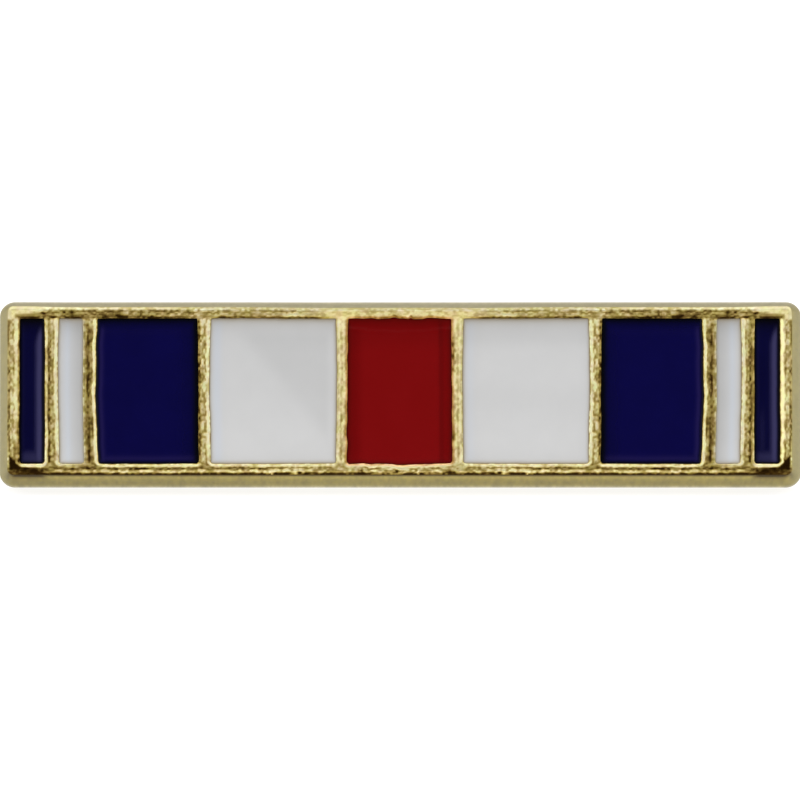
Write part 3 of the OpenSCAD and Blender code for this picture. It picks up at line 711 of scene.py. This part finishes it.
# Each fill: how far its surface lies under the crest, and how far it creeps up
# the metal on the left, right, top and bottom, with the width of each slope.
FILLS = {"navy_end_left": dict(drop=0.080, left=(0.004, 0.05), right=(0.008, 0.050), top=(0.004, 0.05), bottom=(0.006, 0.08)),
         "white_narrow_left": dict(drop=0.060, left=(0.010, 0.05), right=(0.010, 0.06), top=(0.006, 0.06), bottom=(0.008, 0.08)),
         "navy_wide_left": dict(drop=0.072, left=(0.014, 0.070), right=(0.004, 0.05), top=(0.004, 0.05), bottom=(0.006, 0.08)),
         "white_wide_left": dict(drop=0.060, left=(0.012, 0.09), right=(0.010, 0.06), top=(0.006, 0.08), bottom=(0.010, 0.09)),
         "red_centre": dict(drop=0.066, left=(0.008, 0.09), right=(0.010, 0.07), top=(0.010, 0.16), bottom=(0.010, 0.12)),
         "white_wide_right": dict(drop=0.060, left=(0.010, 0.06), right=(0.012, 0.09), top=(0.006, 0.08), bottom=(0.010, 0.09)),
         "navy_wide_right": dict(drop=0.072, left=(0.004, 0.05), right=(0.014, 0.070), top=(0.004, 0.05), bottom=(0.006, 0.08)),
         "white_narrow_right": dict(drop=0.060, left=(0.010, 0.06), right=(0.012, 0.06), top=(0.006, 0.06), bottom=(0.008, 0.08)),
         "navy_end_right": dict(drop=0.080, left=(0.004, 0.05), right=(0.008, 0.050), top=(0.004, 0.05), bottom=(0.006, 0.08))}
# seam between the fill and the metal
GAPS = {"navy": 0.012, "white": 0.004, "red": 0.006}


def glaze_shade(name, left, right, up, down, v):
    """How strongly the painted shade along the sides, the painted sheen and shade strips, and the painted lightness
    show, from the distances to the sides.
    """
    outer, inner = (right, left) if name.endswith("_right") else (left, right)
    light = 1 + 0 * v
    # white: painted shade along the sides and under the top border, the cells painted lighter lower down, and a bluish
    # painted reflection strip near one side
    if name.startswith("white"):
        soft = (0.028, 0.85, 0.036, 1.0) if "wide" in name else (0.036, 1.0, 0.032, 0.6)
        if name.endswith("_right"):
            soft = soft[2:] + soft[:2]
        edge = np.maximum.reduce([soft[1] * np.exp(-(left / soft[0]) ** 1.3), soft[3] * np.exp(-(right / soft[2]) ** 1.3),
                                  0.95 * np.exp(-(up / 0.070)), np.exp(-(down / 0.045) ** 1.4)])
        if name.startswith("white_wide"):
            light = light * along(v, (-1.60, -1.45, -1.30, -1.05, 0.0, 0.80, 1.00, 1.25, 1.45, 1.60),
                                  (0.95, 0.965, 0.98, 0.98, 0.925, 0.91, 0.895, 0.865, 0.82, 0.78))
            tint = hump(left, 0.16, 0.09) * (1.0 if name.endswith("_left") else 0.55)
            if name.endswith("_left"):
                light = light * along(left, (0.0, 0.2, 0.4, 0.9, 2.8), (1.02, 1.03, 1.05, 1.045, 1.04))
                # a painted diagonal shade in the upper right of the left wide white cell
                light = light * (1 - 0.075 * step(-0.30, 0.30, left - 0.45 - 0.81 * up) * step(0.10, 0.28, right) * step(0.1, 0.5, up))
            else:
                light = light * along(left, (0.0, 0.2, 0.4, 2.5, 2.8), (1.0, 1.02, 1.04, 1.04, 1.01))
                light = light * (1 + 0.035 * step(0.45, 0.75, up) * step(1.9, 1.2, up) - 0.02 * hump(up, 0.36, 0.16))
        else:
            light = light * along(v, (-1.60, -1.45, -1.30, -1.05, 0.0, 0.80, 1.10, 1.25, 1.45, 1.60),
                                  (1.00, 1.01, 1.00, 0.975, 0.94, 0.94, 0.90, 0.86, 0.77, 0.72))
            tint = hump(outer, 0.20, 0.08)
            light = light * along(outer, (0.0, 0.2, 0.3, 0.42, 0.54), (1.0, 1.0, 0.93, 0.85, 0.84))
    # wide navy: painted shadow seams along the sides, a painted shade strip inside the inner side, painted sheen along
    # the outer side and the bottom
    elif name.startswith("navy_wide"):
        shaded = along(inner, (0.03, 0.059, 0.081, 0.103, 0.124, 0.146, 0.19, 0.233, 0.31, 0.40, 0.50),
                       (1.0, 0.90, 0.79, 0.60, 0.41, 0.31, 0.20, 0.16, 0.13, 0.05, 0.0))
        edge = np.maximum.reduce([np.exp(-(outer / 0.054) ** 2), shaded,
                                  np.exp(-(up / 0.140) ** 1.5), np.exp(-(down / 0.054) ** 2)])
        tint = np.maximum(hump(outer, 0.098, 0.052), 0.7 * hump(down, 0.115, 0.055)) * step(0.05, 0.3, up)
        tint = np.maximum(tint, 0.07 * hump(up, 0.28, 0.06))
    # end navy: painted shadow seams, deep painted shade under the top, a painted sheen streak by the right side and a
    # lighter painted patch low on the left
    elif name.startswith("navy_end"):
        edge = np.maximum.reduce([np.exp(-(left / 0.042) ** 2), np.exp(-(right / 0.056) ** 4),
                                  np.exp(-(up / 0.190) ** 1.6), np.exp(-(down / 0.050) ** 2)])
        # the painted sheen streak widens from its slanting upper end
        near = right / (0.55 + 0.45 * step(0.05, 0.60, up))
        tint = along(near, (0.055, 0.072, 0.085, 0.105, 0.128, 0.15, 0.172, 0.195, 0.215, 0.24, 0.27),
                     (0.35, 0.62, 0.86, 0.98, 0.98, 0.85, 0.62, 0.36, 0.15, 0.03, 0.0)) * step(0.06, 0.40, up)
        tint = np.maximum(tint, along(left, (0.06, 0.12, 0.30, 0.45), (0.30, 0.50, 0.58, 0.70)) * step(0.34, 0.15, down) * 0.8)
        tint = np.maximum(tint, 0.05 * hump(left, 0.075, 0.03))
        if name.endswith("_right"):
            tint = np.maximum(tint, 0.12 * hump(left, 0.17, 0.06) * step(1.4, 0.8, down))
    # red: painted shadow along the sides, darker painted strips inside the left, right and top sides
    else:
        edge = np.maximum.reduce([np.exp(-(left / 0.055) ** 1.4), np.exp(-(right / 0.055) ** 1.4),
                                  np.exp(-(up / 0.070) ** 1.3), np.exp(-(down / 0.045) ** 1.6)])
        tint = np.maximum.reduce([step(0.40, 0.14, left), 0.8 * step(0.28, 0.20, right), 0.9 * step(0.30, 0.10, up)])
        # a faint painted highlight line follows the upper edge, sagging in the middle
        sag = 0.20 + 0.07 * step(0.05, 0.8, np.minimum(left, right))
        light = light * (1 + 0.03 * hump(down, 0.16, 0.10) - 0.27 * hump(right, 0.235, 0.045) - 0.10 * step(0.75, 0.30, up))
        tint = tint * (1 - 0.6 * hump(up, sag, 0.04))
    return edge, tint, light


def graded(a, b):
    """Positions from a to b, close together near both ends."""
    near = [0.0, 0.010, 0.022, 0.036, 0.052, 0.071, 0.093, 0.12, 0.155, 0.20, 0.25]
    half = (b - a) / 2
    near = [d for d in near if d < half * 0.8]
    mid = spread(a + near[-1], b - near[-1], 0.050)
    return np.concatenate([[a + d for d in near[:-1]], mid, [b - d for d in near[-2::-1]]])


def build_fill(name, x0, x1, colour):
    b = Build(("edge", "tint", "light"))
    f = FILLS[name]
    U, W = graded(x0, x1), graded(CELL_BOTTOM, CELL_TOP)
    gx, gv = np.meshgrid(U, W)
    x, v = round_cells(gx.ravel(), gv.ravel())
    dl, dr, dt, db = x - x0, x1 - x, CELL_TOP - v, v - CELL_BOTTOM
    n = BAR_T - f["drop"] + 0 * x
    for d, side in ((dl, "left"), (dr, "right"), (dt, "top"), (db, "bottom")):
        rise, width = f[side]
        n = n + rise * np.exp(-np.maximum(d, 0) / width)
    n = n + 0.0012 * fbm(x / 0.9 + 4, v / 0.9, 4, 2)
    if colour == "red":
        n = n + 0.0090 * step(0.04, -0.04, dt - 0.20 - 0.07 * step(0.05, 0.8, np.minimum(dl, dr)))
    n = np.minimum(n, BAR_T - 0.012)
    hx, hv = (x1 - x0) / 2, (CELL_TOP - CELL_BOTTOM) / 2
    cx, cv = (x0 + x1) / 2, (CELL_TOP + CELL_BOTTOM) / 2
    wx, wv = wander(x, v)
    shrink_x, shrink_v = 1 - GAPS[colour] / hx, 1 - GAPS[colour] / hv
    wx, wv = cx + (wx - cx) * shrink_x, cv + (wv - cv) * shrink_v
    edge, tint, light = glaze_shade(name, dl, dr, dt, db, v)
    ids = b.add(wx, wv, n, edge=edge, tint=tint, light=light).reshape(gx.shape)
    b.quads(np.stack([ids[:-1, :-1], ids[:-1, 1:], ids[1:, 1:], ids[1:, :-1]], -1).reshape(-1, 4))
    ring = np.concatenate([ids[0, :-1], ids[:-1, -1], ids[-1, :0:-1], ids[:0:-1, 0]])
    flat = ids.ravel()
    order = {int(k): m for m, k in enumerate(flat)}
    take = np.array([order[int(k)] for k in ring])
    rx, rv, rn = wx[take], wv[take], n[take]
    last = ring
    # the fill's sides, down to the tray, take the painted edge shade throughout
    for lift, pull in ((-0.006, -0.0), (-0.06, 0.0), (None, 0.0)):
        level = np.full_like(rn, TRAY + 0.02) if lift is None else rn + lift
        new = b.add(rx, rv, level, edge=1, tint=0, light=1)
        b.ring_to_ring(new, last)
        last = new
    b.faces.append(tuple(last[::-1].tolist()))
    return b.mesh("glaze_" + name, sharp=60)


# ---------------------------------------------------------------------------
# Materials
# ---------------------------------------------------------------------------
def new_material(name):
    m = bpy.data.materials.new(name)
    m.use_nodes = True
    t = m.node_tree
    return m, t, t.nodes["Principled BSDF"]


def node(t, kind, **values):
    n = t.nodes.new(kind)
    for k, val in values.items():
        setattr(n, k, val)
    return n


def attribute(t, name):
    n = node(t, "ShaderNodeAttribute", attribute_name=name, attribute_type="GEOMETRY")
    return n.outputs["Fac"]


def ramp(t, fac, stops):
    n = node(t, "ShaderNodeValToRGB")
    e = n.color_ramp.elements
    e[0].position, e[0].color = stops[0][0], (*stops[0][1], 1)
    e[1].position, e[1].color = stops[-1][0], (*stops[-1][1], 1)
    for pos, col in stops[1:-1]:
        e.new(pos).color = (*col, 1)
    t.links.new(fac, n.inputs["Fac"])
    return n.outputs["Color"]


def blend_colour(t, fac, a, b, kind="MIX"):
    n = node(t, "ShaderNodeMix", data_type="RGBA", blend_type=kind)
    for sock, val in ((n.inputs[0], fac), (n.inputs[6], a), (n.inputs[7], b)):
        if isinstance(val, (int, float)):
            sock.default_value = val
        elif isinstance(val, tuple):
            sock.default_value = (*val, 1)
        else:
            t.links.new(val, sock)
    return n.outputs[2]


def maths(t, op, a, b=0.0, c=0.0):
    n = node(t, "ShaderNodeMath", operation=op)
    for sock, val in zip(n.inputs, (a, b, c)):
        if isinstance(val, (int, float)):
            sock.default_value = val
        else:
            t.links.new(val, sock)
    return n.outputs[0]


def map_range(t, value, a, b, c, d, smooth=False):
    n = node(t, "ShaderNodeMapRange", interpolation_type="SMOOTHSTEP" if smooth else "LINEAR")
    t.links.new(value, n.inputs["Value"])
    for k, val in (("From Min", a), ("From Max", b), ("To Min", c), ("To Max", d)):
        n.inputs[k].default_value = val
    return n.outputs["Result"]


def noise_node(t, scale, detail=3.0, rough=0.55, stretch=None):
    """Noise in the object's own coordinates; scale counts features per metre."""
    co = node(t, "ShaderNodeTexCoord").outputs["Object"]
    if stretch:
        mp = node(t, "ShaderNodeMapping")
        mp.inputs["Scale"].default_value = stretch
        t.links.new(co, mp.inputs["Vector"])
        co = mp.outputs["Vector"]
    n = node(t, "ShaderNodeTexNoise")
    n.inputs["Scale"].default_value = scale
    n.inputs["Detail"].default_value = detail
    n.inputs["Roughness"].default_value = rough
    t.links.new(co, n.inputs["Vector"])
    return n.outputs["Fac"]


def bump(t, height, distance, strength, shader):
    n = node(t, "ShaderNodeBump")
    n.inputs["Strength"].default_value = strength
    n.inputs["Distance"].default_value = distance
    t.links.new(height, n.inputs["Height"])
    t.links.new(n.outputs["Normal"], shader.inputs["Normal"])


def metal_material():
    m, t, s = new_material("plated_gold")
    tone, matte, wall = attribute(t, "tone"), attribute(t, "matte"), attribute(t, "wall")
    coarse = noise_node(t, 9000, 3)
    fine = noise_node(t, 42000, 3)
    speck = noise_node(t, 5200, 2)
    shaken = maths(t, "MULTIPLY_ADD", maths(t, "SUBTRACT", fine, 0.5), 0.16, tone)
    # tone to colour; the ramp's top end gives the cream colours of the painted highlights
    gold = ramp(t, maths(t, "MULTIPLY", shaken, 1 / 1.2),
                [(0.0, (0.022, 0.010, 0.002)), (0.117, (0.060, 0.032, 0.006)), (0.317, (0.24, 0.165, 0.040)),
                 (0.517, (0.50, 0.385, 0.120)), (0.700, (0.77, 0.665, 0.325)), (0.833, (0.945, 0.885, 0.530)),
                 (0.917, (0.985, 0.965, 0.60)), (1.0, (1.0, 1.0, 0.60))])
    hue = blend_colour(t, map_range(t, speck, 0.35, 0.65, 0, 1), (1.0, 0.930, 0.97), (0.985, 1.0, 0.85))
    gold = blend_colour(t, 1.0, gold, hue, "MULTIPLY")
    # painted red reflection beside the red cell
    gold = blend_colour(t, attribute(t, "blush"), gold, blend_colour(t, 1.0, gold, (1.0, 0.66, 0.62), "MULTIPLY"))
    gold = blend_colour(t, attribute(t, "warm"), gold, blend_colour(t, 1.0, gold, (1.02, 0.975, 0.86), "MULTIPLY"))
    # painted reflection colours: on the face the outer edge is painted paler; on the walls the lower one is painted the
    # warmest, the upper one the palest
    pale = attribute(t, "pale")
    gold = blend_colour(t, pale, gold, blend_colour(t, 1.0, gold, (0.88, 1.0, 1.45), "MULTIPLY"))
    # the lower, side and upper walls' colours are painted reflections on one gold: warm for the lower wall, pale for
    # the upper
    low = blend_colour(t, map_range(t, coarse, 0.3, 0.7, 0, 1), (0.57, 0.425, 0.064), (0.64, 0.490, 0.082))
    low = blend_colour(t, map_range(t, speck, 0.40, 0.60, 0, 1), low, blend_colour(t, 1.0, low, (0.95, 1.01, 0.96), "MULTIPLY"))
    side = blend_colour(t, map_range(t, coarse, 0.3, 0.7, 0, 1), (0.49, 0.400, 0.118), (0.57, 0.475, 0.148))
    side = blend_colour(t, map_range(t, pale, 0.0, 0.5, 0, 1), low, side)
    side = blend_colour(t, map_range(t, pale, 0.5, 1.0, 0, 1), side, (0.55, 0.490, 0.310))
    # the walls' tone carries their painted light and shade
    grey = node(t, "ShaderNodeCombineColor")
    for sock in grey.inputs:
        t.links.new(tone, sock)
    side = blend_colour(t, 1.0, side, grey.outputs["Color"], "MULTIPLY")
    t.links.new(blend_colour(t, wall, gold, side), s.inputs["Base Color"])
    t.links.new(maths(t, "MULTIPLY_ADD", wall, -0.7, 1.0), s.inputs["Metallic"])
    s.inputs["Specular Tint"].default_value = (0.55, 0.55, 0.50, 1)
    r = maths(t, "MULTIPLY_ADD", maths(t, "SUBTRACT", coarse, 0.5), 0.16, matte)
    t.links.new(r, s.inputs["Roughness"])
    both = maths(t, "MULTIPLY_ADD", coarse, 0.5, fine)
    bump(t, both, 0.000006, 0.35, s)
    return m


def enamel_material(kind):
    m, t, s = new_material("enamel_" + kind)
    edge, tint, light = attribute(t, "edge"), attribute(t, "tint"), attribute(t, "light")
    cloud = noise_node(t, 1500, 3)
    dust = noise_node(t, 30000, 2)
    # body and dull are the enamel's own colours; rim is the colour of the painted shade along the fill's sides; side is
    # the colour of the painted sheen strips (for the red, of its darker painted strips); navy_end is a darker navy for
    # the end cells, with the colour of their painted streak
    body, dull, rim, side = {
        "navy": ((0.0015, 0.0009, 0.046), (0.0013, 0.0007, 0.041), (0.0002, 0.0002, 0.002), (0.0105, 0.0070, 0.064)),
        "navy_end": ((0.0010, 0.0008, 0.0265), (0.0008, 0.0006, 0.0235), (0.0006, 0.0002, 0.0008), (0.0400, 0.0365, 0.102)),
        "white": ((0.585, 0.585, 0.585), (0.572, 0.572, 0.572), (0.345, 0.290, 0.195), (0.565, 0.588, 0.625)),
        "red": ((0.180, 0.0018, 0.0024), (0.175, 0.0015, 0.0020), (0.085, 0.0012, 0.0004), (0.145, 0.0008, 0.0012))}[kind]
    c = blend_colour(t, map_range(t, cloud, 0.35, 0.65, 0, 1), body, dull)
    c = blend_colour(t, tint, c, side)
    grey = node(t, "ShaderNodeCombineColor")
    for sock in grey.inputs:
        t.links.new(light, sock)
    c = blend_colour(t, 1.0, c, grey.outputs["Color"], "MULTIPLY")
    c = blend_colour(t, edge, c, rim)
    t.links.new(c, s.inputs["Base Color"])
    s.inputs["Metallic"].default_value = 0.0
    s.inputs["IOR"].default_value = 1.5
    t.links.new(map_range(t, dust, 0.3, 0.7, 0.09, 0.14), s.inputs["Roughness"])
    bump(t, dust, 0.0000010, 0.25, s)
    return m


# ---------------------------------------------------------------------------
# Camera: the photograph's angle, a little under and beside the line square to the face
# ---------------------------------------------------------------------------
BELOW, YAW = math.radians(3.65), math.radians(0.57)
ELEV = LEAN - BELOW
DISTANCE = 0.44
cam_data = bpy.data.cameras.new("camera")
cam = bpy.data.objects.new("camera", cam_data)
bpy.context.scene.collection.objects.link(cam)
cam_data.sensor_width = 36.0
cam_data.lens = 36.0 * DISTANCE / (BAR_W * 0.001)
cam_data.clip_start, cam_data.clip_end = 0.01, 60.0
to_cam = Vector((math.sin(YAW) * math.cos(ELEV), -math.cos(YAW) * math.cos(ELEV), math.sin(ELEV)))
along_bar = Vector((1, 0, 0))
screen_right = (along_bar - to_cam * along_bar.dot(to_cam)).normalized()
screen_up = to_cam.cross(screen_right)
back_centre = Vector((0, OFF, RISE)) * 0.001
px = BAR_W * 0.001 / 800
cam.location = back_centre + to_cam * DISTANCE - screen_up * 5.15 * px - screen_right * 0.35 * px
cam.rotation_euler = Matrix((screen_right, screen_up, to_cam)).transposed().to_euler()
bpy.context.scene.camera = cam

# ---------------------------------------------------------------------------
# Pieces
# ---------------------------------------------------------------------------
gold = metal_material()
glaze = {c: enamel_material(c) for c in ("navy", "navy_end", "white", "red")}

metal = build_metal()
metal.data.materials.append(gold)
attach(metal, "root")
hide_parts("pin_body")

for name, x0, x1, colour in CELLS:
    piece = build_fill(name, x0, x1, colour)
    piece.data.materials.append(glaze["navy_end" if "end" in name else colour])
    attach(piece, "root")
    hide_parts("enamel_" + name)

# ---------------------------------------------------------------------------
# Stage: one large pale floor, and a soft studio sky
# ---------------------------------------------------------------------------
floor_mesh = bpy.data.meshes.new("floor")
H = 6.0
floor_mesh.from_pydata([(-H, -H, 0), (H, -H, 0), (H, H, 0), (-H, H, 0)], [], [(0, 1, 2, 3)])
floor = bpy.data.objects.new("floor", floor_mesh)
bpy.context.scene.collection.objects.link(floor)
fm, ft, fs_ = new_material("pale_floor")
fs_.inputs["Base Color"].default_value = (0.28, 0.28, 0.28, 1)
fs_.inputs["Roughness"].default_value = 0.9
fs_.inputs["Specular IOR Level"].default_value = 0.0
# the floor is a white sheet lit softly from below, as on a light table
fs_.inputs["Emission Color"].default_value = (1, 1, 1, 1)
fs_.inputs["Emission Strength"].default_value = 0.86
floor_mesh.materials.append(fm)

world = bpy.data.worlds.new("studio")
bpy.context.scene.world = world
world.use_nodes = True
wt = world.node_tree
direction = wt.nodes.new("ShaderNodeTexCoord").outputs["Generated"]


def toward(azimuth, elevation):
    """Unit vector; azimuth 0 is in front of the pin's face, 90 to the viewer's right."""
    a, e = math.radians(azimuth), math.radians(elevation)
    return (math.sin(a) * math.cos(e), -math.cos(a) * math.cos(e), math.sin(e))


def patch(azimuth, elevation, inner, outer):
    """1 within inner degrees of a direction, 0 beyond outer."""
    d = wt.nodes.new("ShaderNodeVectorMath")
    d.operation = "DOT_PRODUCT"
    wt.links.new(direction, d.inputs[0])
    d.inputs[1].default_value = toward(azimuth, elevation)
    return map_range(wt, d.outputs["Value"], math.cos(math.radians(outer)), math.cos(math.radians(inner)), 0, 1, smooth=True)


# direction, inner and outer radius in degrees, strength
SOFTBOXES = [(0, 78, 40, 70, 0.92),
             (-65, 15, 24, 42, 0.58),
             (65, 15, 24, 42, 0.58)]
sky = 0.50
for az, el, inner, outer, power in SOFTBOXES:
    sky = maths(wt, "MULTIPLY_ADD", patch(az, el, inner, outer), power, sky)
shade = maths(wt, "MULTIPLY_ADD", patch(0, 15.7, 10, 25), -0.93, 1.0)
sky = maths(wt, "MULTIPLY", sky, shade)
wt.links.new(sky, wt.nodes["Background"].inputs["Strength"])
wt.nodes["Background"].inputs["Color"].default_value = (1, 1, 1, 1)

scene = bpy.context.scene
scene.view_settings.view_transform = "Standard"
scene.view_settings.look = "None"
